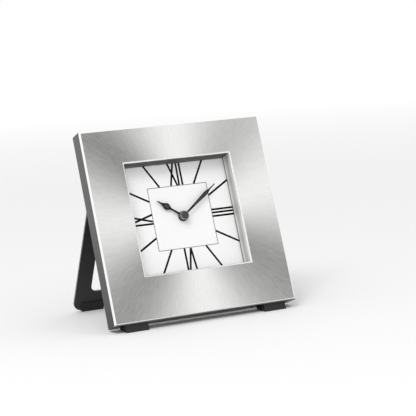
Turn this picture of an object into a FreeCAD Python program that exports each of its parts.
"""Square desk clock on a folding easel: metal front, white dial, quartz movement.

Every piece is drawn in face coordinates, in millimetres: x to the right, y up the face, z out
towards the reader, with z = 0 on the front face and the face's centre at x = y = 0. Depths are
counted backwards from the front face, so a depth of d lies at z = -d. At the end each piece is
leaned back as the clock stands: +X right, front towards -Y, +Z up, with the origin under the
middle of the standing clock.
"""
import FreeCAD, Part
import Sketcher
import math
import os
import re

Vector = FreeCAD.Vector
Placement = FreeCAD.Placement
Rotation = FreeCAD.Rotation
X_AXIS = Vector(1, 0, 0)
Z_AXIS = Vector(0, 0, 1)

SIZES = {
    # Pressed metal front
    "frame_width": 100.0,
    "frame_depth": 10.8,
    "sheet_wall": 0.9,
    "edge_chamfer": 0.9,
    "opening_width": 59.2,
    "opening_width_back": 56.8,
    "opening_rise": 2.0,
    "lip_behind": 3.3,
    "lip_chamfer": 0.35,
    # Clearances and overruns
    "fit_gap": 0.1,
    "running_gap": 0.05,
    "press_gap": 0.02,
    "open_gap": 0.4,
    "stator_gap": 0.25,
    "overrun": 1.0,
    # Dial
    "dial_gap": 0.3,
    "dial_margin": 4.8,
    "dial_thickness": 0.8,
    # Back cover and its screws
    "cover_chamfer": 0.6,
    "cover_screw_inset": 5.5,
    "screw_radius": 1.1,
    "screw_length": 6.0,
    "screw_head_radius": 2.2,
    "screw_head_height": 1.0,
    "screw_slot_width": 0.6,
    "screw_slot_depth": 0.5,
    # Movement housing
    "movement_depth": 16.0,
    "flange_reach": 2.0,
    "flange_thickness": 1.2,
    "case_wall": 1.4,
    "case_radius": 2.0,
    "case_chamfer": 0.8,
    "bay_wall": 1.2,
    "bay_notch_width": 20.0,
    "bay_notch_depth": 5.0,
    "bridge_thickness": 1.0,
    "bridge_behind": 4.4,
    "post_radius": 0.6,
    "boss_radius": 1.4,
    "boss_height": 1.2,
    # Battery and contacts
    "battery_radius": 7.15,
    "battery_length": 49.2,
    "battery_nub_radius": 2.75,
    "battery_nub_length": 1.1,
    "battery_gap": 0.25,
    "battery_surround": 7.2,
    "contact_thickness": 0.4,
    "contact_width": 10.0,
    "contact_height": 11.0,
    "contact_dimple_radius": 2.5,
    # Wheels of the motion work: modules, face widths and depths
    "set_module": 0.45,
    "hour_module": 0.432,
    "gear_width": 1.0,
    "pinion_overhang": 0.1,
    "hour_wheel_behind": 1.6,
    "motion_wheel_behind": 2.9,
    # Going train
    "centre_module": 0.4,
    "third_module": 0.333,
    "second_module": 0.333,
    "rotor_module": 0.2,
    "train_width": 0.8,
    "centre_wheel_behind": 5.8,
    "third_wheel_behind": 7.2,
    "second_wheel_behind": 8.6,
    "step_wheel_behind": 10.0,
    "pivot_radius": 0.4,
    "rotor_radius": 3.0,
    "rotor_length": 2.2,
    "rotor_behind": 11.0,
    # Arbors, pipe and hands
    "arbor_radius": 1.2,
    "collar_radius": 2.0,
    "pipe_radius": 2.2,
    "clutch_radius": 3.2,
    "clutch_thickness": 0.25,
    "hand_thickness": 0.35,
    "hand_gap": 0.45,
    "hour_hub_radius": 2.65,
    "hour_hub_height": 1.1,
    "minute_hub_radius": 1.9,
    "cap_radius": 2.35,
    "cap_height": 1.0,
    "cap_edge": 0.25,
    "hand_rise": 0.4,
    "hour_hand_length": 16.6,
    "hour_stem_width": 0.85,
    "hour_swell_width": 3.5,
    "hour_needle_width": 0.7,
    "minute_hand_length": 24.4,
    "minute_stem_width": 0.75,
    "minute_swell_width": 2.1,
    "minute_needle_width": 0.65,
    # Setting knob
    "knob_radius": 6.0,
    "knob_height": 3.2,
    "knob_gap": 0.4,
    "knob_groove_depth": 0.6,
    "spindle_radius": 1.5,
    # Electric parts
    "board_length": 19.0,
    "board_width": 8.5,
    "board_thickness": 1.0,
    "crystal_radius": 1.0,
    "crystal_length": 6.0,
    "chip_radius": 2.2,
    "chip_height": 0.8,
    "stator_thickness": 0.8,
    "stator_behind": 11.3,
    "stator_limb": 3.0,
    "stator_width": 24.0,
    "stator_height": 16.0,
    "stator_drop": 4.36,
    "stator_clear": 0.1067,
    "coil_length": 14.0,
    "coil_width": 4.6,
    "coil_thickness": 3.6,
    "coil_core_width": 2.4,
    "bobbin_flange": 0.8,
    "bobbin_rim": 0.5,
    # Easel and its hinges
    "hinge_above": 9.8,
    "hinge_stand": 3.6,
    "hinge_sheet": 1.0,
    "hinge_ear_radius": 3.0,
    "hinge_base_height": 13.0,
    "hinge_screw_rise": 4.8,
    "hinge_screw_head_radius": 1.6,
    "hinge_screw_head_height": 0.7,
    "hinge_screw_length": 2.6,
    "hinge_screw_radius": 0.8,
    "pin_radius": 1.0,
    "pin_head_radius": 1.7,
    "pin_head_height": 0.8,
    "knuckle_radius": 2.1,
    "knuckle_gap": 0.4,
    "strut_short": 3.2,
    "strut_sheet": 1.2,
    "strut_clear": 10.6,
    "strut_foot_inset": 1.0,
    "strut_arm_width": 8.5,
    "strut_foot_width": 10.0,
    "strut_heel": 3.2,
    "strut_rail_top": 3.6,
    "strut_rail_bottom": 8.5,
    "strut_corner_radius": 4.0,
    "strut_window_radius": 3.0,
    "stop_width": 8.0,
    "stop_offset": 15.0,
    # Rubber feet
    "foot_least": 0.8,
    "foot_inset": 1.6,
    "foot_width": 12.0,
    "foot_from_side": 12.0,
    "strut_pad_wall": 0.9,
    "strut_pad_grip": 4.0,
    "strut_pad_sole": 1.2,
}

# Turned angles, in degrees, and tooth counts
STRUT_OPEN_ANGLE = 36.0
MINUTE_HAND_ANGLE = -53.1
HOUR_HAND_ANGLE = 55.6
CANNON_TEETH = 12
MOTION_TEETH = 36
MOTION_PINION_TEETH = 10
HOUR_TEETH = 40
SETTING_TEETH = 12
CENTRE_TEETH = 48
THIRD_PINION_TEETH = 6
THIRD_TEETH = 45
SECOND_PINION_TEETH = 6
SECOND_TEETH = 30
STEP_PINION_TEETH = 6
STEP_TEETH = 36
ROTOR_TEETH = 6
KNOB_GROOVE_COUNT = 15
FEW_SIDES = 12

HALF_TURN = 180.0

# Directions, in degrees from +x, in which each wheel lies from the wheel that it meshes with
MOTION_DIRECTION = 150.0
SETTING_DIRECTION = 120.0
THIRD_DIRECTION = 20.0
SECOND_DIRECTION = 80.0
STEP_DIRECTION = 150.0
ROTOR_DIRECTION = 180.0

# A tooth's height above and below the pitch circle, as shares of the module
ADDENDUM_SHARE = 0.9
DEDENDUM_SHARE = 1.2

# A hand's outline from hub to tip: a share of its length, then shares of its stem's, swell's and
# needle's widths
HOUR_HAND_SHARES = (
    (0, 1, 0, 0), (0.50, 1, 0, 0), (0.56, 1, 0.10, 0), (0.62, 0, 0.80, 0), (0.67, 0, 1, 0),
    (0.72, 0, 0.80, 0), (0.78, 0, 0.40, 0), (0.85, 0, 0, 1), (1, 0, 0, 0.7))
MINUTE_HAND_SHARES = (
    (0, 1, 0, 0), (0.66, 0, 0.93, 0), (0.71, 0, 1, 0), (0.75, 0, 0.88, 0), (0.775, 0, 0.60, 0),
    (0.80, 0, 0, 1), (1, 0, 0, 0.7))

# Sizes that follow from the ones above, so that pieces keep together when one of those changes
TIED_SIZES = {
    "lip_depth": "frame_depth - lip_behind",
    "dial_width": "opening_width + dial_margin",
    "dial_back": "lip_depth + dial_gap + dial_thickness",
    "movement_width": "battery_length + battery_surround",
    "flange_width": "movement_width + 2 * flange_reach",
    "train_rise": (f"centre_module * {CENTRE_TEETH + THIRD_PINION_TEETH} / 2 * sin({THIRD_DIRECTION})"
                   f" + third_module * {THIRD_TEETH + SECOND_PINION_TEETH} / 2 * sin({SECOND_DIRECTION})"
                   f" + second_module * {SECOND_TEETH + STEP_PINION_TEETH} / 2 * sin({STEP_DIRECTION})"
                   f" + rotor_module * {STEP_TEETH + ROTOR_TEETH} / 2 * sin({ROTOR_DIRECTION})"),
    "movement_height": "2 * (train_rise - stator_drop + stator_height + stator_clear + case_wall)",
    "flange_height": "movement_height + 2 * flange_reach",
    "hour_wheel_depth": "dial_back + hour_wheel_behind",
    "motion_wheel_depth": "dial_back + motion_wheel_behind",
    "bridge_depth": "dial_back + bridge_behind",
    "centre_wheel_depth": "dial_back + centre_wheel_behind",
    "third_wheel_depth": "dial_back + third_wheel_behind",
    "second_wheel_depth": "dial_back + second_wheel_behind",
    "step_wheel_depth": "dial_back + step_wheel_behind",
    "rotor_depth": "dial_back + rotor_behind",
    "stator_depth": "dial_back + stator_behind",
    "hinge_rise": "opening_rise + movement_height / 2 + hinge_above",
    "strut_length": "hinge_rise + frame_width / 2 - strut_short",
    "strut_half_width": "movement_width / 2 + strut_clear",
    "strut_half_width_foot": "frame_width / 2 - strut_foot_inset",
    "foot_offset": "frame_width / 2 - foot_from_side",
}

doc = FreeCAD.newDocument("pendulette_clock")
sheet = doc.addObject("Spreadsheet::Sheet", "Sizes")
for row, (alias, number) in enumerate(SIZES.items(), start=1):
    sheet.set(f"A{row}", alias)
    sheet.set(f"B{row}", str(number))
    sheet.setAlias(f"B{row}", alias)
doc.recompute()
for row, (alias, formula) in enumerate(TIED_SIZES.items(), start=len(SIZES) + 1):
    sheet.set(f"A{row}", alias)
    sheet.set(f"B{row}", f"={formula}")
    sheet.setAlias(f"B{row}", alias)
    doc.recompute()
nodes = {}


# Helpers

def bind(thing, prop, text):
    """Binds a property to an expression written with the names of the sheet."""
    full = re.sub(r"[a-z][a-z_0-9]*", lambda word: sized(word.group()), text)
    thing.setExpression(prop, full)


def sized(word):
    """The sheet's name of a size, or the word as it is when it is a function's name."""
    return "Sizes." + word if word in SIZES or word in TIED_SIZES else word


def new_body(label, several=False):
    """Starts the body of one sub-part, which may hold several like pieces as separate solids."""
    body = doc.addObject("PartDesign::Body", label)
    body.Label = label
    body.AllowCompound = several
    nodes[label] = body
    return body


def solid_node(label, shape):
    """Keeps a shape made by formula as one sub-part."""
    thing = doc.addObject("Part::Feature", label)
    thing.Label = label
    thing.Shape = shape
    nodes[label] = thing
    return thing


def sketch(body, name, depth="0", role="XY_Plane"):
    """Opens a sketch on an origin plane of the body, at a depth behind the front face."""
    plane = next(item for item in body.Origin.OriginFeatures if item.Role == role)
    drawing = body.newObject("Sketcher::SketchObject", name)
    drawing.AttachmentSupport = (plane, [""])
    drawing.MapMode = "FlatFace"
    bind(drawing, ".AttachmentOffset.Base.z", f"-({depth})")
    return drawing


def fix(drawing, kind, first, first_point, second, second_point, text):
    """Adds one distance constraint bound to an expression."""
    place = drawing.addConstraint(Sketcher.Constraint(kind, first, first_point, second, second_point, 0.0))
    bind(drawing, f"Constraints[{place}]", text)


def polygon(drawing, points):
    """Draws a closed outline whose corners are pairs of expressions."""
    start = drawing.GeometryCount
    count = len(points)
    ring = [polar(sheet.overrun, 360 * i / count) for i in range(count)]
    for i in range(count):
        drawing.addGeometry(Part.LineSegment(ring[i], ring[(i + 1) % count]))
    for i in range(count):
        drawing.addConstraint(Sketcher.Constraint("Coincident", start + i, 2, start + (i + 1) % count, 1))
    for i, (across, up) in enumerate(points):
        fix(drawing, "DistanceX", -1, 1, start + i, 1, across)
        fix(drawing, "DistanceY", -1, 1, start + i, 1, up)


def rectangle(drawing, left, right, low, high):
    """Draws a rectangle from four expressions."""
    polygon(drawing, [(left, low), (right, low), (right, high), (left, high)])


def oblong(drawing, width, height, rise="0"):
    """Draws a rectangle of a given width and height, centred on x = 0 at a given rise."""
    half = f"({width}) / 2"
    tall = f"({height}) / 2"
    rectangle(drawing, f"-{half}", half, f"{rise} - {tall}", f"{rise} + {tall}")


def square(drawing, width, rise="0"):
    """Draws a square of a given width, centred on x = 0 at a given rise."""
    oblong(drawing, width, width, rise)


def circle(drawing, across, up, radius):
    """Draws a circle from three expressions."""
    place = drawing.addGeometry(Part.Circle(Vector(0, 0, 0), Z_AXIS, sheet.overrun))
    fix(drawing, "DistanceX", -1, 1, place, 3, across)
    fix(drawing, "DistanceY", -1, 1, place, 3, up)
    radial = drawing.addConstraint(Sketcher.Constraint("Radius", place, sheet.overrun))
    bind(drawing, f"Constraints[{radial}]", radius)


def few_sided(drawing, across, up, radius, hole=False):
    """Draws a small hidden shaft with few sides, or a hole whose flats clear a shaft of that radius."""
    reach = f"({radius})" + (f" / cos(180 / {FEW_SIDES})" if hole else "")
    turns = [360 * (i + 1 / 2) / FEW_SIDES for i in range(FEW_SIDES)]
    polygon(drawing, [(f"{across} + {reach} * cos({turn})", f"{up} + {reach} * sin({turn})")
                      for turn in turns])


def pad(body, name, drawing, length, taper=None):
    """Adds material backwards from a sketch."""
    thing = body.newObject("PartDesign::Pad", name)
    thing.Profile = drawing
    thing.Reversed = True
    bind(thing, "Length", length)
    if taper:
        bind(thing, "TaperAngle", taper)
    return thing


def pad_across(body, name, drawing, length):
    """Adds material to the right from a sketch that stands across the clock."""
    thing = body.newObject("PartDesign::Pad", name)
    thing.Profile = drawing
    bind(thing, "Length", length)
    return thing


def cut_across(body, name, drawing, length):
    """Cuts to the right from a sketch that stands across the clock."""
    doc.recompute()
    before = body.Shape.Volume
    thing = body.newObject("PartDesign::Pocket", name)
    thing.Profile = drawing
    thing.Reversed = True
    bind(thing, "Length", length)
    doc.recompute()
    if not body.Shape.Volume < before:
        raise RuntimeError(f"{body.Label}: {name} cut nothing")
    return thing


def across(body, name, left, role="YZ_Plane"):
    """Opens a sketch that stands across the clock at x = left; its axes are y and z."""
    return sketch(body, name, f"-({left})", role)


def pocket(body, name, drawing, length, taper=None):
    """Cuts backwards from a sketch and checks that it cut something."""
    doc.recompute()
    before = body.Shape.Volume
    thing = body.newObject("PartDesign::Pocket", name)
    thing.Profile = drawing
    bind(thing, "Length", length)
    if taper:
        bind(thing, "TaperAngle", taper)
    doc.recompute()
    if not body.Shape.Volume < before:
        raise RuntimeError(f"{body.Label}: {name} cut nothing")
    return thing


def edge_names(shape, wanted):
    """Names of the edges that pass a test."""
    return [f"Edge{i}" for i, edge in enumerate(shape.Edges, start=1) if wanted(edge)]


def dress(body, kind, name, prop, size, wanted):
    """Fillets or chamfers the chosen edges of the body so far."""
    doc.recompute()
    base = body.Tip
    thing = body.newObject(f"PartDesign::{kind}", name)
    thing.Base = (base, edge_names(base.Shape, wanted))
    bind(thing, prop, size)
    doc.recompute()
    return thing


def revolve(body, name, points):
    """Turns an outline of (radius, height) expressions about the z axis."""
    drawing = sketch(body, name + "_outline", role="XZ_Plane")
    polygon(drawing, points)
    thing = body.newObject("PartDesign::Revolution", name)
    thing.Profile = drawing
    thing.ReferenceAxis = (drawing, ["V_Axis"])
    thing.Angle = 360
    return thing


def is_level(edge, height):
    """True for an edge that lies flat at a height."""
    box = edge.BoundBox
    return abs(box.ZMin - height) < TOLERANCE and abs(box.ZMax - height) < TOLERANCE


def is_upright(edge):
    """True for a straight edge that runs along z."""
    box = edge.BoundBox
    return box.ZLength > TOLERANCE and box.XLength < TOLERANCE and box.YLength < TOLERANCE


def polar(radius, degrees):
    """A point at a radius and a direction in the plane of the face."""
    turn = math.radians(degrees)
    return Vector(radius * math.cos(turn), radius * math.sin(turn), 0)


def disc(radius, front, back, centre=Vector(0, 0, 0)):
    """A plain cylinder between two depths."""
    return Part.makeCylinder(radius, back - front, centre + Vector(0, 0, -back))


def prism(radius, front, back):
    """A small shaft with few sides between two depths."""
    corners = [polar(radius, 360 * (i + 1 / 2) / FEW_SIDES) for i in range(FEW_SIDES)]
    return thickened(corners, front, back)


def thickened(corners, front, back):
    """A plate between two depths with the given corners."""
    face = Part.Face(Part.makePolygon(corners + corners[:1]))
    face.translate(Vector(0, 0, -back))
    return face.extrude(Vector(0, 0, back - front))


def toothed_disc(teeth, module, turned, front, back):
    """A spur gear between two depths: straight-flanked pointed teeth, one of them at the angle turned."""
    pitch = 360 / teeth
    root = module * (teeth / 2 - DEDENDUM_SHARE)
    tip = module * (teeth / 2 + ADDENDUM_SHARE)
    corners = []
    for index in range(teeth):
        middle = turned + index * pitch
        corners.append(polar(root, middle - pitch / 2))
        corners.append(polar(tip, middle))
    return thickened(corners, front, back)


def centre_distance(module, first, second):
    """Distance between the axes of two meshed gears."""
    return module * (first + second) / 2


def meshed(turned, teeth, follower_teeth, direction):
    """Angle of a tooth of the follower, which lies in a direction from a gear turned by an angle."""
    pitch = 360 / teeth
    lag = ((direction - turned) / pitch) % 1
    return direction + HALF_TURN + (lag + 1 / 2) * 360 / follower_teeth


# Levels and places that several pieces share, worked out from the sheet
TOLERANCE = sheet.press_gap / 100
HALF = sheet.frame_width / 2
DIAL_FRONT = sheet.lip_depth + sheet.dial_gap
PLATE_BACK = sheet.dial_back + sheet.flange_thickness
CASE_BACK = sheet.dial_back + sheet.movement_depth
CASE_INSIDE = CASE_BACK - sheet.case_wall
PIVOT_BACK = CASE_INSIDE - sheet.press_gap

MOTION_PLACE = polar(centre_distance(sheet.set_module, CANNON_TEETH, MOTION_TEETH), MOTION_DIRECTION)
SETTING_PLACE = MOTION_PLACE + polar(
    centre_distance(sheet.set_module, MOTION_TEETH, SETTING_TEETH), SETTING_DIRECTION)
THIRD_PLACE = polar(centre_distance(sheet.centre_module, CENTRE_TEETH, THIRD_PINION_TEETH), THIRD_DIRECTION)
SECOND_PLACE = THIRD_PLACE + polar(
    centre_distance(sheet.third_module, THIRD_TEETH, SECOND_PINION_TEETH), SECOND_DIRECTION)
STEP_PLACE = SECOND_PLACE + polar(
    centre_distance(sheet.second_module, SECOND_TEETH, STEP_PINION_TEETH), STEP_DIRECTION)
ROTOR_PLACE = STEP_PLACE + polar(
    centre_distance(sheet.rotor_module, STEP_TEETH, ROTOR_TEETH), ROTOR_DIRECTION)
TRAIN_PLACES = (THIRD_PLACE, SECOND_PLACE, STEP_PLACE, ROTOR_PLACE)

# The same levels as expressions, for the pieces bound to the sheet
ROTOR_PLACE_TEXT = f"({ROTOR_PLACE.x})"
STATOR_TOP_TEXT = "(train_rise - stator_drop + stator_height)"
DIAL_FRONT_TEXT = "(lip_depth + dial_gap)"
PLATE_BACK_TEXT = f"(dial_back + flange_thickness)"
CASE_BACK_TEXT = f"(dial_back + movement_depth)"
HINGE_AXIS_TEXT = "-(frame_depth + hinge_stand)"
FLOOR_SLOPE_TEXT = (f"((hinge_rise - (strut_length + strut_pad_sole) * cos({STRUT_OPEN_ANGLE})"
                    " + frame_width / 2 + foot_least)"
                    f" / (hinge_stand + (strut_length + strut_pad_sole) * sin({STRUT_OPEN_ANGLE})))")
LIP_TAPER_TEXT = "-atan((opening_width - opening_width_back) / 2 / lip_depth)"
INSIDE_TEXT = "(frame_width - 2 * sheet_wall)"
CHAMBER_HALF_TEXT = "(movement_width / 2 - case_wall)"
CHAMBER_TOP_TEXT = "(movement_height / 2 - case_wall)"
BAY_TOP_TEXT = f"(2 * (battery_radius + battery_gap) - {CHAMBER_TOP_TEXT})"

# Easel and floor in the (y, depth) plane: the floor passes under the frame's feet and the easel's foot
HINGE_DEPTH = sheet.frame_depth + sheet.hinge_stand
OPEN_TURN = math.radians(STRUT_OPEN_ANGLE)
FOOT_Y = -HALF - sheet.foot_least
SOLE_DISTANCE = sheet.strut_length + sheet.strut_pad_sole
SOLE_Y = sheet.hinge_rise - SOLE_DISTANCE * math.cos(OPEN_TURN)
SOLE_DEPTH = HINGE_DEPTH + SOLE_DISTANCE * math.sin(OPEN_TURN)
LEAN = math.atan2(SOLE_Y - FOOT_Y, SOLE_DEPTH - sheet.frame_depth)


def floor_y(depth):
    """Height on the face's own y axis at which the floor lies, at a depth behind the face."""
    return FOOT_Y + (depth - sheet.frame_depth) * math.tan(LEAN)


def in_movement(thing, place=Vector(0, 0, 0)):
    """Moves a piece drawn about its own axis to a place counted from the hands' axis."""
    thing.Placement = Placement(place + Vector(0, sheet.opening_rise, 0), Rotation()) * thing.Placement


# Front, dial and back cover

def make_front_shell():
    """Pressed metal front: a square face with a folded skirt and a drawn-in lip round the dial."""
    body = new_body("front_shell")
    outline = sketch(body, "outline")
    square(outline, "frame_width")
    pad(body, "block", outline, "frame_depth")
    hollow = sketch(body, "hollow_outline", "sheet_wall")
    square(hollow, INSIDE_TEXT)
    pocket(body, "hollow", hollow, "frame_depth")
    lip = sketch(body, "lip_outline")
    square(lip, "opening_width + 2 * sheet_wall", "opening_rise")
    pad(body, "lip", lip, "lip_depth", LIP_TAPER_TEXT)
    opening = sketch(body, "opening_outline")
    square(opening, "opening_width", "opening_rise")
    pocket(body, "opening", opening, "lip_depth", LIP_TAPER_TEXT)
    dress(body, "Chamfer", "front_edge", "Size", "edge_chamfer",
          lambda edge: is_level(edge, 0) and edge.Length > sheet.opening_width + TOLERANCE)
    dress(body, "Chamfer", "lip_edge", "Size", "lip_chamfer",
          lambda edge: is_level(edge, 0) and edge.Length < sheet.opening_width + TOLERANCE)


def make_core_frame():
    """Moulded core that fills the metal front and carries the dial on a ledge."""
    body = new_body("core_frame")
    outline = sketch(body, "outline", "sheet_wall + fit_gap")
    square(outline, f"{INSIDE_TEXT} - 2 * fit_gap")
    pad(body, "block", outline, f"dial_back - sheet_wall - fit_gap")
    window = sketch(body, "window_outline")
    square(window, "opening_width + 2 * sheet_wall + 2 * fit_gap", "opening_rise")
    pocket(body, "window", window, "frame_depth")
    ledge = sketch(body, "ledge_outline", DIAL_FRONT_TEXT)
    square(ledge, "dial_width + 2 * fit_gap", "opening_rise")
    pocket(body, "ledge", ledge, "frame_depth")
    holes = sketch(body, "screw_holes", "frame_depth - screw_length + screw_head_height")
    cover_screw_outlines(holes, "screw_radius + running_gap", "hole")
    pocket(body, "pilot_holes", holes, "frame_depth")


def screw_outline(drawing, across, up, radius, piece):
    """Draws a screw's head, its shank, the hole for its shank or the slot across its head."""
    if piece == "slot":
        rectangle(drawing, f"{across} - {radius}", f"{across} + {radius}",
                  f"{up} - screw_slot_width / 2", f"{up} + screw_slot_width / 2")
    elif piece == "head":
        circle(drawing, across, up, radius)
    else:
        few_sided(drawing, across, up, radius, hole=piece == "hole")


def cover_screw_outlines(drawing, radius, piece):
    """Draws the outlines of the cover's four screws."""
    near = "(frame_width / 2 - cover_screw_inset)"
    for left_or_right in (f"-{near}", near):
        for up in ("-frame_width / 4", "frame_width / 4"):
            screw_outline(drawing, left_or_right, up, radius, piece)


def make_dial_plate():
    """Flat dial that rests against the core's ledge."""
    body = new_body("dial_plate")
    outline = sketch(body, "outline", DIAL_FRONT_TEXT)
    square(outline, "dial_width", "opening_rise")
    circle(outline, "0", "opening_rise", "pipe_radius + fit_gap")
    pad(body, "plate", outline, "dial_thickness")


def make_back_cover():
    """Moulded cover inside the skirt, with a window for the movement and stops for the easel."""
    body = new_body("back_cover")
    outline = sketch(body, "outline", "dial_back")
    square(outline, f"{INSIDE_TEXT} - 2 * fit_gap")
    pad(body, "plate", outline, f"frame_depth - dial_back")
    seat = sketch(body, "flange_outline", "dial_back")
    oblong(seat, "flange_width + 2 * fit_gap", "flange_height + 2 * fit_gap", "opening_rise")
    pocket(body, "flange_seat", seat, "flange_thickness")
    window = sketch(body, "window_outline", "dial_back")
    oblong(window, "movement_width + 2 * fit_gap", "movement_height + 2 * fit_gap", "opening_rise")
    pocket(body, "window", window, "frame_depth")
    drop = f"((strut_sheet / 2 + fit_gap) / cos({STRUT_OPEN_ANGLE}))"
    reach = f"((hinge_stand + fit_gap - {drop}) / tan({STRUT_OPEN_ANGLE}))"
    for number, side in enumerate(("-", "")):
        stop = across(body, f"stop_outline_{number}", f"{side}stop_offset - stop_width / 2")
        polygon(stop, [("hinge_rise", "fit_gap - frame_depth"), ("hinge_rise", f"{HINGE_AXIS_TEXT} + {drop}"),
                       (f"hinge_rise + {reach}", "fit_gap - frame_depth")])
        pad_across(body, f"stop_{number}", stop, "stop_width")
    shanks = sketch(body, "shank_holes", "dial_back")
    cover_screw_outlines(shanks, "screw_radius + running_gap", "hole")
    pocket(body, "shanks", shanks, "frame_depth")
    small = sketch(body, "hinge_screw_holes", "frame_depth - hinge_screw_length + hinge_sheet")
    hinge_screw_outlines(small, "hinge_screw_radius + running_gap", "hole")
    pocket(body, "hinge_pilots", small, "frame_depth")
    dress(body, "Chamfer", "rear_edge", "Size", "cover_chamfer",
          lambda edge: is_level(edge, -sheet.frame_depth) and edge.Length > sheet.flange_width + TOLERANCE)


def hinge_middle():
    """Middle of a hinge across the clock, as an expression."""
    return "(strut_half_width - strut_arm_width / 2)"


def hinge_screw_outlines(drawing, radius, piece):
    """Draws the outlines of the four screws that hold the hinge brackets."""
    for side in ("-", ""):
        for up in ("(hinge_rise - hinge_screw_rise)", "(hinge_rise + hinge_screw_rise)"):
            screw_outline(drawing, f"{side}{hinge_middle()}", up, radius, piece)


def make_screws(label, outlines, seat, head_radius, head_height, shank_radius, length):
    """Slotted screws driven from behind, their heads' undersides at the seat's depth, as one set."""
    body = new_body(label, several=True)
    heads = sketch(body, "head_outline", seat)
    outlines(heads, head_radius, "head")
    pad(body, "heads", heads, head_height)
    shanks = sketch(body, "shank_outline", f"{seat} - {length} + {head_height}")
    outlines(shanks, shank_radius, "shank")
    pad(body, "shanks", shanks, f"{length} - {head_height}")
    slots = sketch(body, "slot_outline", f"{seat} + {head_height} - screw_slot_depth")
    outlines(slots, head_radius, "slot")
    pocket(body, "slots", slots, "screw_slot_depth + overrun")


# Movement housing

def make_movement_plate():
    """Front plate of the movement: its flange is held between dial and cover, its post carries a wheel."""
    body = new_body("movement_plate")
    outline = sketch(body, "outline", "dial_back")
    oblong(outline, "flange_width", "flange_height")
    circle(outline, "0", "0", "pipe_radius + running_gap")
    pad(body, "plate", outline, "flange_thickness")
    post = sketch(body, "post_outline", f"{PLATE_BACK_TEXT} - fit_gap")
    turn = f"cos({MOTION_DIRECTION})"
    rise = f"sin({MOTION_DIRECTION})"
    reach = f"(set_module * {CANNON_TEETH + MOTION_TEETH} / 2)"
    few_sided(post, f"{reach} * {turn}", f"{reach} * {rise}", "post_radius")
    pad(body, "post", post, f"bridge_depth - {PLATE_BACK_TEXT} + fit_gap")
    in_movement(body)


def make_movement_case():
    """Rear housing: a chamber for the train, a bay for the cell and sockets for the pivots."""
    body = new_body("movement_case")
    outline = sketch(body, "outline", PLATE_BACK_TEXT)
    oblong(outline, "movement_width", "movement_height")
    pad(body, "block", outline, f"{CASE_BACK_TEXT} - {PLATE_BACK_TEXT}")
    dress(body, "Fillet", "corners", "Radius", "case_radius", is_upright)
    chamber = sketch(body, "chamber_outline", PLATE_BACK_TEXT)
    rectangle(chamber, f"-{CHAMBER_HALF_TEXT}", CHAMBER_HALF_TEXT, f"{BAY_TOP_TEXT} + bay_wall",
              CHAMBER_TOP_TEXT)
    pocket(body, "chamber", chamber, f"{CASE_BACK_TEXT} - {PLATE_BACK_TEXT} - case_wall")
    bay = sketch(body, "bay_outline", PLATE_BACK_TEXT)
    rectangle(bay, f"-{CHAMBER_HALF_TEXT}", CHAMBER_HALF_TEXT, f"-{CHAMBER_TOP_TEXT}", BAY_TOP_TEXT)
    pocket(body, "bay", bay, "movement_depth")
    notch = sketch(body, "notch_outline", f"{CASE_BACK_TEXT} - bay_notch_depth")
    rectangle(notch, "-bay_notch_width / 2", "bay_notch_width / 2", "-movement_height / 2 - overrun",
              f"-{CHAMBER_TOP_TEXT} + overrun")
    pocket(body, "finger_notch", notch, "movement_depth")
    bosses = sketch(body, "boss_outline", f"{CASE_BACK_TEXT} - case_wall - boss_height")
    for place in TRAIN_PLACES:
        few_sided(bosses, *centre_texts(place), "boss_radius")
    few_sided(bosses, "0", "0", "boss_radius + arbor_radius")
    pad(body, "bosses", bosses, "boss_height + fit_gap")
    bores = sketch(body, "socket_outline", f"{CASE_BACK_TEXT} - case_wall - boss_height")
    for place in TRAIN_PLACES:
        few_sided(bores, *centre_texts(place), "pivot_radius + running_gap", hole=True)
    few_sided(bores, "0", "0", "arbor_radius + running_gap", hole=True)
    pocket(body, "sockets", bores, "boss_height")
    spindle = sketch(body, "spindle_outline", PLATE_BACK_TEXT)
    circle(spindle, *centre_texts(SETTING_PLACE), "spindle_radius + running_gap")
    pocket(body, "spindle_hole", spindle, "movement_depth")
    dress(body, "Chamfer", "rear_edge", "Size", "case_chamfer",
          lambda edge: is_level(edge, -CASE_BACK) and on_outer_wall(edge))
    in_movement(body)


def on_outer_wall(edge):
    """True for a straight edge that lies in an outer wall of the movement's case."""
    middle = edge.CenterOfMass
    at_side = abs(abs(middle.x) - sheet.movement_width / 2) < TOLERANCE
    return at_side or abs(abs(middle.y) - sheet.movement_height / 2) < TOLERANCE


def centre_texts(place):
    """An axis of the movement, whose place the tooth counts and modules give, as two expressions."""
    return f"({place.x})", f"({place.y})"


def make_train_bridge():
    """Plate inside the movement that carries the front pivots of the train."""
    body = new_body("train_bridge")
    outline = sketch(body, "outline", "bridge_depth")
    rectangle(outline, f"fit_gap - {CHAMBER_HALF_TEXT}", f"{CHAMBER_HALF_TEXT} - fit_gap",
              f"{BAY_TOP_TEXT} + bay_wall + fit_gap", f"{CHAMBER_TOP_TEXT} - fit_gap")
    for place in TRAIN_PLACES:
        few_sided(outline, *centre_texts(place), "pivot_radius + running_gap", hole=True)
    few_sided(outline, *centre_texts(SETTING_PLACE), "spindle_radius + running_gap", hole=True)
    few_sided(outline, "0", "0", "arbor_radius + running_gap", hole=True)
    pad(body, "plate", outline, "bridge_thickness")
    in_movement(body)


def make_battery():
    """Plain cylindrical cell, lying across the bay with its raised pole to the right."""
    body = new_body("battery")
    end = "battery_length / 2"
    revolve(body, "cell", [
        ("0", f"-{end}"), ("battery_radius", f"-{end}"), ("battery_radius", end), ("battery_nub_radius", end),
        ("battery_nub_radius", f"{end} + battery_nub_length"), ("0", f"{end} + battery_nub_length")])
    body.Placement = Placement(battery_middle(), Rotation(Vector(0, 1, 0), 90))
    in_movement(body)


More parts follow.
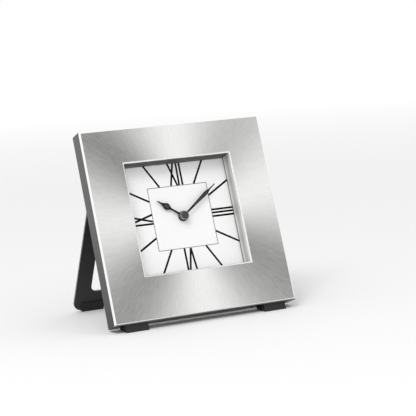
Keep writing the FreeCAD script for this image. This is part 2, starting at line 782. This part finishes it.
def battery_middle():
    """Middle of the cell, counted from the hands' axis."""
    low = sheet.battery_gap + sheet.battery_radius + sheet.case_wall - sheet.movement_height / 2
    return Vector(0, low, -(PLATE_BACK + sheet.battery_gap + sheet.battery_radius))


def make_contacts():
    """Two sprung contacts on the end walls of the bay, each with a dimple that meets the cell."""
    wall = CHAMBER_HALF_TEXT
    ends = {"contact_positive": ("", "(battery_length / 2 + battery_nub_length + press_gap)"),
            "contact_negative": ("-", "(battery_length / 2 + press_gap)")}
    for label, (side, reach) in ends.items():
        body = new_body(label)
        leaf = across(body, "leaf_outline", f"-{wall}" if side else f"{wall} - contact_thickness")
        rectangle(leaf, "-contact_width / 2", "contact_width / 2", "-contact_height / 2",
                  "contact_height / 2")
        pad_across(body, "leaf", leaf, "contact_thickness")
        dimple = sketch(body, "dimple_outline")
        base = f"{side}({wall} - contact_thickness / 2)"
        polygon(dimple, [(base, "0"), (base, "contact_dimple_radius"),
                         (f"{side}{reach}", "contact_dimple_radius / 2"), (f"{side}{reach}", "0")])
        turned = body.newObject("PartDesign::Revolution", "dimple")
        turned.Profile = dimple
        turned.ReferenceAxis = (dimple, ["H_Axis"])
        turned.Angle = 360
        doc.recompute()
        body.Placement = Placement(battery_middle(), Rotation())
        in_movement(body)


# Wheels, arbors and hands

def make_minute_arbor():
    """Steel arbor of the minute hand: it ends in a pivot at the back and a seat for the cap in front."""
    body = new_body("minute_arbor")
    tip = f"-({HANDS_TEXT} - cap_height / 2)"
    seat = "-(centre_wheel_depth - running_gap)"
    shoulder = "-(bridge_depth + bridge_thickness + running_gap)"
    foot = f"-({CASE_BACK_TEXT} - case_wall - press_gap)"
    revolve(body, "turned", [
        ("0", foot), ("arbor_radius", foot), ("arbor_radius", seat), ("collar_radius", seat),
        ("collar_radius", shoulder), ("arbor_radius", shoulder), ("arbor_radius", tip), ("0", tip)])
    in_movement(body)


def bored(shape, radius):
    """A gear with its bore cut through; the bore has few sides, and its flats clear the shaft."""
    box = shape.BoundBox
    reach = radius / math.cos(math.pi / FEW_SIDES)
    return shape.cut(prism(reach, -box.ZMax - sheet.overrun, -box.ZMin + sheet.overrun))


def make_motion_work():
    """Cannon pinion, motion wheel, hour wheel and setting pinion, in mesh as the clock stands."""
    front = sheet.motion_wheel_depth
    back = front + sheet.gear_width
    over = sheet.pinion_overhang
    cannon_turn = MOTION_DIRECTION
    cannon = toothed_disc(CANNON_TEETH, sheet.set_module, cannon_turn, front - over, back + over)
    in_movement(solid_node("cannon_pinion", bored(cannon, sheet.arbor_radius + sheet.press_gap)))

    wheel_turn = meshed(cannon_turn, CANNON_TEETH, MOTION_TEETH, MOTION_DIRECTION)
    wheel = toothed_disc(MOTION_TEETH, sheet.set_module, wheel_turn, front, back)
    hour_front = sheet.hour_wheel_depth
    hour_back = hour_front + sheet.gear_width
    pinion = toothed_disc(MOTION_PINION_TEETH, sheet.hour_module, wheel_turn, hour_front - over, front)
    motion = bored(wheel.fuse(pinion), sheet.post_radius + sheet.running_gap)
    in_movement(solid_node("motion_wheel", motion), MOTION_PLACE)

    hour_turn = meshed(wheel_turn, MOTION_PINION_TEETH, HOUR_TEETH, MOTION_DIRECTION + HALF_TURN)
    hour = toothed_disc(HOUR_TEETH, sheet.hour_module, hour_turn, hour_front, hour_back)
    pipe = disc(sheet.pipe_radius, HOUR_HAND_FRONT, hour_front)
    in_movement(solid_node("hour_wheel", bored(hour.fuse(pipe), sheet.arbor_radius + sheet.running_gap)))

    setting_turn = meshed(wheel_turn, MOTION_TEETH, SETTING_TEETH, SETTING_DIRECTION)
    setting = toothed_disc(SETTING_TEETH, sheet.set_module, setting_turn, front, back)
    in_movement(solid_node("setting_pinion", bored(setting, sheet.spindle_radius / 2 + sheet.press_gap)),
                SETTING_PLACE)


def make_going_train():
    """Centre, third, second and stepping wheels and the rotor, each meshed with the one before."""
    over = sheet.pinion_overhang
    centre_front = sheet.centre_wheel_depth
    centre_turn = THIRD_DIRECTION
    centre = toothed_disc(CENTRE_TEETH, sheet.centre_module, centre_turn, centre_front,
                          centre_front + sheet.train_width)
    in_movement(solid_node("centre_wheel", bored(centre, sheet.arbor_radius + sheet.running_gap)))

    rows = [
        ("third_wheel", THIRD_PLACE, THIRD_DIRECTION, sheet.centre_module, CENTRE_TEETH, THIRD_PINION_TEETH,
         sheet.centre_wheel_depth, sheet.third_module, THIRD_TEETH, sheet.third_wheel_depth),
        ("second_wheel", SECOND_PLACE, SECOND_DIRECTION, sheet.third_module, THIRD_TEETH, SECOND_PINION_TEETH,
         sheet.third_wheel_depth, sheet.second_module, SECOND_TEETH, sheet.second_wheel_depth),
        ("step_wheel", STEP_PLACE, STEP_DIRECTION, sheet.second_module, SECOND_TEETH, STEP_PINION_TEETH,
         sheet.second_wheel_depth, sheet.rotor_module, STEP_TEETH, sheet.step_wheel_depth),
    ]
    driver_turn = centre_turn
    for label, place, direction, module, driver, pinion_teeth, pinion_front, own_module, teeth, front in rows:
        turn = meshed(driver_turn, driver, pinion_teeth, direction)
        pinion = toothed_disc(pinion_teeth, module, turn, pinion_front - over, front)
        wheel = toothed_disc(teeth, own_module, turn, front, front + sheet.train_width)
        arbor = prism(sheet.pivot_radius, sheet.bridge_depth, PIVOT_BACK)
        in_movement(solid_node(label, wheel.fuse(pinion).fuse(arbor)), place)
        driver_turn = turn

    turn = meshed(driver_turn, STEP_TEETH, ROTOR_TEETH, ROTOR_DIRECTION)
    pinion = toothed_disc(ROTOR_TEETH, sheet.rotor_module, turn, sheet.step_wheel_depth - over,
                          sheet.rotor_depth)
    arbor = prism(sheet.pivot_radius, sheet.bridge_depth, PIVOT_BACK)
    in_movement(solid_node("rotor_pinion", pinion.fuse(arbor)), ROTOR_PLACE)


def make_rotor_magnet():
    """Ring magnet pressed on the rotor's arbor."""
    body = new_body("rotor_magnet")
    ring = sketch(body, "outline", "rotor_depth")
    circle(ring, "0", "0", "rotor_radius")
    few_sided(ring, "0", "0", "pivot_radius + press_gap", hole=True)
    pad(body, "ring", ring, "rotor_length")
    in_movement(body, ROTOR_PLACE)


def make_clutch_spring():
    """Spring washer behind the centre wheel, which slips on the arbor when the hands are set."""
    body = new_body("clutch_spring")
    washer = sketch(body, "outline", "centre_wheel_depth + train_width + press_gap")
    few_sided(washer, "0", "0", "clutch_radius")
    few_sided(washer, "0", "0", "arbor_radius + press_gap", hole=True)
    pad(body, "washer", washer, "clutch_thickness")
    in_movement(body)


# The hands' levels: the minute hand's back, the hour hand's front and the arbor's tip follow from the dial
HOUR_HAND_BACK = DIAL_FRONT - sheet.hand_rise - sheet.hour_hub_height + sheet.hand_thickness
HOUR_HAND_FRONT = HOUR_HAND_BACK - sheet.hand_thickness
MINUTE_HAND_BACK = HOUR_HAND_FRONT - sheet.hand_gap
MINUTE_HAND_FRONT = MINUTE_HAND_BACK - sheet.hand_thickness
HANDS_TEXT = ("(lip_depth + dial_gap - hand_rise - hour_hub_height - hand_gap - hand_thickness)")


def hand_outline(length, stem_width, swell_width, needle_width, outline_shares):
    """A hand pointing along +y, mirrored about its axis.

    The first and last stretches are straight; a smooth curve runs through the points between them.
    """
    points = []
    for share, stem_share, swell_share, needle_share in outline_shares:
        width = stem_share * stem_width + swell_share * swell_width + needle_share * needle_width
        points.append(Vector(width / 2, share * length, 0))
    swell = Part.BSplineCurve()
    swell.interpolate(points[1:-1])
    right = [Part.makeLine(points[0], points[1]), swell.toShape(), Part.makeLine(points[-2], points[-1])]
    tip = Part.makeLine(points[-1], Vector(-points[-1].x, points[-1].y, 0))
    left = [edge.mirror(Vector(0, 0, 0), X_AXIS) for edge in reversed(right)]
    foot = Part.makeLine(Vector(-points[0].x, points[0].y, 0), points[0])
    return Part.Face(Part.Wire(Part.__sortEdges__(right + [tip] + left + [foot])))


def finished_hand(label, face, front, hub_radius, hub_back, bore, turn):
    """Thickens a hand, adds its hub, cuts the bore and turns it to the time shown."""
    face.translate(Vector(0, 0, -front - sheet.hand_thickness))
    hand = face.extrude(Vector(0, 0, sheet.hand_thickness))
    hand = hand.fuse(disc(hub_radius, front, hub_back))
    hand = hand.cut(disc(bore, front - sheet.overrun, hub_back + sheet.overrun))
    hand.rotate(Vector(0, 0, 0), Z_AXIS, turn)
    in_movement(solid_node(label, hand))


def make_hands():
    """Hour hand on its pipe, minute hand on the arbor, and the cap that holds it."""
    hour = hand_outline(sheet.hour_hand_length, sheet.hour_stem_width, sheet.hour_swell_width,
                        sheet.hour_needle_width, HOUR_HAND_SHARES)
    finished_hand("hour_hand", hour, HOUR_HAND_FRONT, sheet.hour_hub_radius,
                  HOUR_HAND_FRONT + sheet.hour_hub_height, sheet.pipe_radius + sheet.press_gap,
                  HOUR_HAND_ANGLE)

    minute = hand_outline(sheet.minute_hand_length, sheet.minute_stem_width, sheet.minute_swell_width,
                          sheet.minute_needle_width, MINUTE_HAND_SHARES)
    finished_hand("minute_hand", minute, MINUTE_HAND_FRONT, sheet.minute_hub_radius,
                  MINUTE_HAND_BACK + sheet.hand_gap - sheet.fit_gap,
                  sheet.arbor_radius + sheet.press_gap, MINUTE_HAND_ANGLE)

    body = new_body("hand_cap")
    seat = f"-({HANDS_TEXT})"
    top = f"(cap_height - {HANDS_TEXT})"
    inner = f"-({HANDS_TEXT} - cap_height / 2 - press_gap)"
    revolve(body, "turned", [
        ("arbor_radius + press_gap", seat), ("cap_radius", seat), ("cap_radius", f"{top} - cap_edge"),
        ("cap_radius - cap_edge", top), ("0", top), ("0", inner), ("arbor_radius + press_gap", inner)])
    in_movement(body)


def make_setting_knob():
    """Fluted knob behind the case with its spindle, which carries the setting pinion."""
    body = new_body("setting_knob")
    rear = f"-({CASE_BACK_TEXT} + knob_gap + knob_height)"
    near = f"-({CASE_BACK_TEXT} + knob_gap)"
    step = "-(motion_wheel_depth + gear_width + press_gap)"
    nose = "-motion_wheel_depth"
    revolve(body, "turned", [
        ("0", rear), ("knob_radius - knob_gap", rear), ("knob_radius", f"{rear} + knob_gap"),
        ("knob_radius", near), ("spindle_radius", near), ("spindle_radius", step),
        ("spindle_radius / 2", step), ("spindle_radius / 2", nose), ("0", nose)])
    groove = sketch(body, "groove_outline", f"{CASE_BACK_TEXT}")
    outside = "(knob_radius + overrun)"
    spread = "(knob_groove_depth + overrun)"
    polygon(groove, [("knob_radius - knob_groove_depth", "0"), (outside, f"-{spread}"), (outside, spread)])
    cut = pocket(body, "groove", groove, "knob_gap + knob_height + overrun")
    ring = body.newObject("PartDesign::PolarPattern", "grooves")
    ring.Originals = [cut]
    ring.Axis = (groove, ["N_Axis"])
    ring.Angle = 360
    ring.Occurrences = KNOB_GROOVE_COUNT
    body.Tip = ring
    in_movement(body, SETTING_PLACE)


# Electric parts

def make_circuit_board():
    """Circuit board on the bridge, with its sealed chip and the can of the quartz crystal."""
    left = f"(fit_gap + open_gap - {CHAMBER_HALF_TEXT})"
    low = f"({BAY_TOP_TEXT} + bay_wall + fit_gap + open_gap)"
    middle = f"({left} + board_width / 2)"
    front = "(bridge_depth + bridge_thickness)"
    back = f"({front} + board_thickness)"
    board = new_body("circuit_board")
    outline = sketch(board, "outline", front)
    rectangle(outline, left, f"{left} + board_width", low, f"{low} + board_length")
    pad(board, "board", outline, "board_thickness")
    in_movement(board)
    chip = new_body("chip")
    outline = sketch(chip, "outline", back)
    circle(outline, middle, f"{low} + board_length / 4", "chip_radius")
    pad(chip, "seal", outline, "chip_height")
    in_movement(chip)
    can = new_body("quartz_crystal")
    outline = sketch(can, "outline", f"{low} + board_length / 2", role="XZ_Plane")
    circle(outline, middle, f"-({back} + crystal_radius + press_gap)", "crystal_radius")
    pad(can, "can", outline, "crystal_length")
    in_movement(can)


def make_stator():
    """Soft iron stator: two limbs that the coil's core joins, with the rotor's hole between them."""
    body = new_body("stator")
    left = f"({ROTOR_PLACE_TEXT} - stator_width / 2)"
    right = f"({ROTOR_PLACE_TEXT} + stator_width / 2)"
    top = STATOR_TOP_TEXT
    inside = f"({top} - stator_limb / 2 - coil_width - 2 * bobbin_rim - open_gap)"
    outline = sketch(body, "outline", "stator_depth")
    polygon(outline, [(left, f"{top} - stator_height"), (right, f"{top} - stator_height"), (right, top),
                      (f"{right} - stator_limb", top), (f"{right} - stator_limb", inside),
                      (f"{left} + stator_limb", inside), (f"{left} + stator_limb", top), (left, top)])
    circle(outline, *centre_texts(ROTOR_PLACE), "rotor_radius + stator_gap")
    for place in (SECOND_PLACE, STEP_PLACE):
        few_sided(outline, *centre_texts(place), "pivot_radius + stator_gap", hole=True)
    pad(body, "plate", outline, "stator_thickness")
    in_movement(body)


def make_coil():
    """Coil on its bobbin, which the core carries between the stator's limbs."""
    left = f"({ROTOR_PLACE_TEXT} - stator_width / 2)"
    middle = f"({STATOR_TOP_TEXT} - stator_limb / 2 - coil_width / 2 - bobbin_rim / 2)"
    front = "(stator_depth + stator_thickness)"
    axis = f"-({front} + stator_thickness / 2)"
    start = f"({ROTOR_PLACE_TEXT} - coil_length / 2)"

    def around(drawing, width, thickness):
        """Draws a rectangle round the core's axis in a sketch across the clock."""
        rectangle(drawing, f"{middle} - ({width}) / 2", f"{middle} + ({width}) / 2",
                  f"{axis} - ({thickness}) / 2", f"{axis} + ({thickness}) / 2")

    core = new_body("coil_core")
    outline = across(core, "outline", left)
    around(outline, "coil_core_width", "stator_thickness")
    pad_across(core, "bar", outline, "stator_width")
    in_movement(core)

    bobbin = new_body("coil_bobbin")
    tube_width = "coil_core_width + 2 * bobbin_rim"
    tube_thickness = "stator_thickness + 2 * bobbin_rim"
    tube = across(bobbin, "tube_outline", f"{start} - bobbin_flange / 2")
    around(tube, tube_width, tube_thickness)
    pad_across(bobbin, "tube", tube, "coil_length + bobbin_flange")
    for number, edge in enumerate((f"{start} - bobbin_flange", f"{start} + coil_length")):
        flange = across(bobbin, f"flange_outline_{number}", edge)
        around(flange, "coil_width + 2 * bobbin_rim", "coil_thickness + bobbin_rim / 2")
        pad_across(bobbin, f"flange_{number}", flange, "bobbin_flange")
    slot = across(bobbin, "slot_outline", left)
    around(slot, "coil_core_width + 2 * press_gap", "stator_thickness + 2 * press_gap")
    cut_across(bobbin, "slot", slot, "stator_width")
    in_movement(bobbin)

    winding = new_body("coil_winding")
    outline = across(winding, "outline", f"{start} + press_gap")
    around(outline, "coil_width", "coil_thickness")
    pad_across(winding, "turns", outline, "coil_length - 2 * press_gap")
    dress(winding, "Fillet", "rounded", "Radius", "bobbin_rim",
          lambda edge: edge.BoundBox.XLength > sheet.coil_width)
    hollow = across(winding, "hollow_outline", f"{start}")
    around(hollow, f"{tube_width} + 2 * press_gap", f"{tube_thickness} + 2 * press_gap")
    cut_across(winding, "hollow", hollow, "coil_length")
    in_movement(winding)


# Easel, hinges and feet

def make_hinge_brackets():
    """Two bent steel brackets on the cover, each with two ears for the pin."""
    inner = "(strut_half_width - strut_arm_width - knuckle_gap)"
    outer = "(strut_half_width + 2 * knuckle_gap)"
    for label, side in (("hinge_bracket_left", "-"), ("hinge_bracket_right", "")):
        body = new_body(label)
        base = sketch(body, "base_outline", "frame_depth")
        ends = sorted_ends(side, f"({inner} - hinge_sheet)", f"({outer} + hinge_sheet)")
        rectangle(base, ends[0], ends[1], "hinge_rise - hinge_base_height / 2",
                  "hinge_rise + hinge_base_height / 2")
        for rise in ("(hinge_rise - hinge_screw_rise)", "(hinge_rise + hinge_screw_rise)"):
            few_sided(base, f"{side}{hinge_middle()}", rise, "hinge_screw_radius + running_gap", hole=True)
        pad(body, "base", base, "hinge_sheet")
        for number, start in enumerate((f"({inner} - hinge_sheet)", outer)):
            for kind in ("stem", "round"):
                ear = across(body, f"{kind}_outline_{number}", f"{side}{start}")
                if kind == "stem":
                    rectangle(ear, "hinge_rise - hinge_ear_radius", "hinge_rise + hinge_ear_radius",
                              HINGE_AXIS_TEXT, "-(frame_depth + hinge_sheet / 2)")
                else:
                    circle(ear, "hinge_rise", HINGE_AXIS_TEXT, "hinge_ear_radius")
                plate = body.newObject("PartDesign::Pad", f"{kind}_{number}")
                plate.Profile = ear
                plate.Reversed = bool(side)
                bind(plate, "Length", "hinge_sheet")
        hole = sketch(body, "pin_hole_outline", role="YZ_Plane")
        few_sided(hole, "hinge_rise", HINGE_AXIS_TEXT, "pin_radius + press_gap", hole=True)
        through = body.newObject("PartDesign::Pocket", "pin_hole")
        through.Profile = hole
        through.Midplane = True
        bind(through, "Length", "frame_width")
        doc.recompute()


def sorted_ends(side, near, far):
    """Left and right ends of a piece that spans from near to far on one side of the clock."""
    return (f"-{far}", f"-{near}") if side else (near, far)


def make_hinge_pins():
    """Two headed steel pins, one through each bracket and its knuckle."""
    body = new_body("hinge_pins", several=True)
    inner = "(strut_half_width - strut_arm_width - knuckle_gap - hinge_sheet - fit_gap)"
    outer = "(strut_half_width + 2 * knuckle_gap + hinge_sheet + fit_gap)"
    for number, side in enumerate(("-", "")):
        shank = across(body, f"shank_outline_{number}", f"-{outer}" if side else inner)
        few_sided(shank, "hinge_rise", HINGE_AXIS_TEXT, "pin_radius")
        pad_across(body, f"shank_{number}", shank, f"{outer} - {inner}")
        head = across(body, f"head_outline_{number}", f"-({outer} + pin_head_height)" if side else outer)
        circle(head, "hinge_rise", HINGE_AXIS_TEXT, "pin_head_radius")
        pad_across(body, f"head_{number}", head, "pin_head_height")


def make_strut_plate():
    """Black steel easel: a tapered plate with a window, drawn hanging down from its hinge line."""
    body = new_body("strut_plate")
    flare = "((strut_half_width_foot - strut_half_width) / strut_length)"
    inner = "(strut_half_width - strut_arm_width)"
    heel = f"({inner} - knuckle_gap - hinge_sheet - knuckle_gap)"
    right = [(heel, "strut_heel"), (heel, "-strut_rail_top"), (inner, "-strut_rail_top"), (inner, "0"),
             ("strut_half_width", "0"), ("strut_half_width_foot", "-strut_length")]
    left = [(f"-{across}", up) for across, up in reversed(right)]
    outline = sketch(body, "outline", "-strut_sheet / 2")
    polygon(outline, right + left)
    pad(body, "plate", outline, "strut_sheet")
    window = sketch(body, "window_outline", "-strut_sheet / 2")
    top = f"({inner} + {flare} * strut_rail_bottom)"
    low = f"({inner} + {flare} * (strut_length - strut_foot_width))"
    polygon(window, [(f"-{top}", "-strut_rail_bottom"), (top, "-strut_rail_bottom"),
                     (low, "strut_foot_width - strut_length"),
                     (f"-{low}", "strut_foot_width - strut_length")])
    pocket(body, "window", window, "strut_sheet")
    dress(body, "Fillet", "foot_corners", "Radius", "strut_corner_radius",
          lambda edge: is_upright(edge) and edge.CenterOfMass.y < TOLERANCE - sheet.strut_length)
    dress(body, "Fillet", "window_corners", "Radius", "strut_window_radius",
          lambda edge: is_upright(edge) and in_window(edge.CenterOfMass))
    for number, side in enumerate(("-", "")):
        start = "-strut_half_width" if side else inner
        roll = across(body, f"knuckle_outline_{number}", start)
        circle(roll, "0", "0", "knuckle_radius")
        pad_across(body, f"knuckle_{number}", roll, "strut_arm_width")
        bore = across(body, f"bore_outline_{number}", f"{start} - knuckle_gap")
        few_sided(bore, "0", "0", "pin_radius + running_gap", hole=True)
        cut_across(body, f"pin_bore_{number}", bore, "strut_arm_width + 2 * knuckle_gap")
    doc.recompute()
    body.Placement = strut_placement()


def in_window(point):
    """True for a corner edge of the easel's window."""
    low = sheet.strut_foot_width - sheet.strut_length
    return any(abs(point.y - level) < TOLERANCE for level in (-sheet.strut_rail_bottom, low))


def strut_placement():
    """Where the easel stands open, as a placement in face coordinates."""
    return Placement(Vector(0, sheet.hinge_rise, -HINGE_DEPTH), Rotation(X_AXIS, STRUT_OPEN_ANGLE))


def make_strut_pads():
    """Rubber shoes over the easel's foot, their soles cut flat to the table."""
    body = new_body("strut_pads", several=True)
    half = "strut_sheet / 2"
    out = f"({half} + strut_pad_wall)"
    grip = "(strut_pad_grip - strut_length)"
    sole = "-(strut_length + strut_pad_sole)"
    rake = f"tan({STRUT_OPEN_ANGLE} deg - atan({FLOOR_SLOPE_TEXT}))"
    for number, side in enumerate(("-", "")):
        section = across(body, f"section_{number}", f"{side}foot_offset - foot_width / 2")
        polygon(section, [(grip, f"-{out}"), (grip, f"-{half}"), ("-strut_length", f"-{half}"),
                          ("-strut_length", half), (grip, half), (grip, out),
                          (f"{sole} + {out} * {rake}", out), (f"{sole} - {out} * {rake}", f"-{out}")])
        pad_across(body, f"shoe_{number}", section, "foot_width")
    doc.recompute()
    body.Placement = strut_placement()


def make_frame_feet():
    """Rubber wedges under the frame's lower edge, their soles cut flat to the table."""
    body = new_body("frame_feet", several=True)
    under = "(-frame_width / 2)"
    thin = f"({under} - foot_least)"
    thick = f"({thin} - (frame_depth - foot_inset) * {FLOOR_SLOPE_TEXT})"
    for number, side in enumerate(("-", "")):
        section = across(body, f"section_{number}", f"{side}foot_offset - foot_width / 2")
        polygon(section, [(under, "-foot_inset"), (under, "-frame_depth"), (thin, "-frame_depth"),
                          (thick, "-foot_inset")])
        pad_across(body, f"wedge_{number}", section, "foot_width")


# Build, stand the clock on its feet, check and write

make_front_shell()
make_core_frame()
make_dial_plate()
make_back_cover()
make_screws("cover_screws", cover_screw_outlines, "frame_depth", "screw_head_radius", "screw_head_height",
            "screw_radius", "screw_length")
make_screws("hinge_screws", hinge_screw_outlines, "(frame_depth + hinge_sheet)", "hinge_screw_head_radius",
            "hinge_screw_head_height", "hinge_screw_radius", "hinge_screw_length")
make_movement_plate()
make_movement_case()
make_train_bridge()
make_battery()
make_contacts()
make_minute_arbor()
make_motion_work()
make_going_train()
make_rotor_magnet()
make_clutch_spring()
make_hands()
make_setting_knob()
make_circuit_board()
make_stator()
make_coil()
make_hinge_brackets()
make_hinge_pins()
make_strut_plate()
make_strut_pads()
make_frame_feet()
doc.recompute()

standing = Placement(Vector(0, 0, 0), Rotation(X_AXIS, 90 - math.degrees(LEAN)))
for thing in nodes.values():
    thing.Placement = standing * thing.Placement
doc.recompute()
overall = Part.makeCompound([thing.Shape for thing in nodes.values()]).BoundBox
shift = Placement(Vector(-overall.Center.x, -overall.Center.y, -overall.ZMin), Rotation())
for thing in nodes.values():
    thing.Placement = shift * thing.Placement
doc.recompute()

for thing in doc.Objects:
    if "Invalid" in thing.State or "Error" in thing.State:
        raise RuntimeError(f"{thing.Label} failed: {thing.State}")
for label, thing in nodes.items():
    if thing.Shape.isNull() or not thing.Shape.isValid():
        raise RuntimeError(f"{label} has no valid shape")
    print(f"{label}: {len(thing.Shape.Solids)} solids, {thing.Shape.Volume:.2f} mm3")

os.makedirs("parts", exist_ok=True)
for label, thing in nodes.items():
    thing.Shape.exportStep(f"parts/{label}.step")


def report_axis(name, point):
    """Prints a point of the movement's or hinge's axis in the standing clock's frame, in metres."""
    spot = (shift * standing).multVec(point)
    print(f"{name}: {spot.x / 1000:.6f} {spot.y / 1000:.6f} {spot.z / 1000:.6f}")


centre = Vector(0, sheet.opening_rise, 0)
facing = standing.Rotation.multVec(Z_AXIS)
print(f"lean {math.degrees(LEAN):.4f} degrees, face normal {facing.x:.6f} {facing.y:.6f} {facing.z:.6f}")
report_axis("hands", centre - Z_AXIS * MINUTE_HAND_FRONT)
report_axis("motion wheel", centre + MOTION_PLACE - Z_AXIS * sheet.motion_wheel_depth)
report_axis("setting knob", centre + SETTING_PLACE - Z_AXIS * CASE_BACK)
report_axis("third wheel", centre + THIRD_PLACE - Z_AXIS * sheet.third_wheel_depth)
report_axis("second wheel", centre + SECOND_PLACE - Z_AXIS * sheet.second_wheel_depth)
report_axis("step wheel", centre + STEP_PLACE - Z_AXIS * sheet.step_wheel_depth)
report_axis("rotor", centre + ROTOR_PLACE - Z_AXIS * sheet.rotor_depth)
report_axis("hinge", Vector(0, sheet.hinge_rise, -HINGE_DEPTH))
report_axis("face centre", Vector(0, 0, 0))
report_axis("frame foot", Vector(sheet.foot_offset, floor_y(sheet.frame_depth / 2), -sheet.frame_depth / 2))
report_axis("strut foot", Vector(sheet.foot_offset, SOLE_Y, -SOLE_DEPTH))
print(f"overall {overall.XLength:.3f} {overall.YLength:.3f} {overall.ZLength:.3f}")
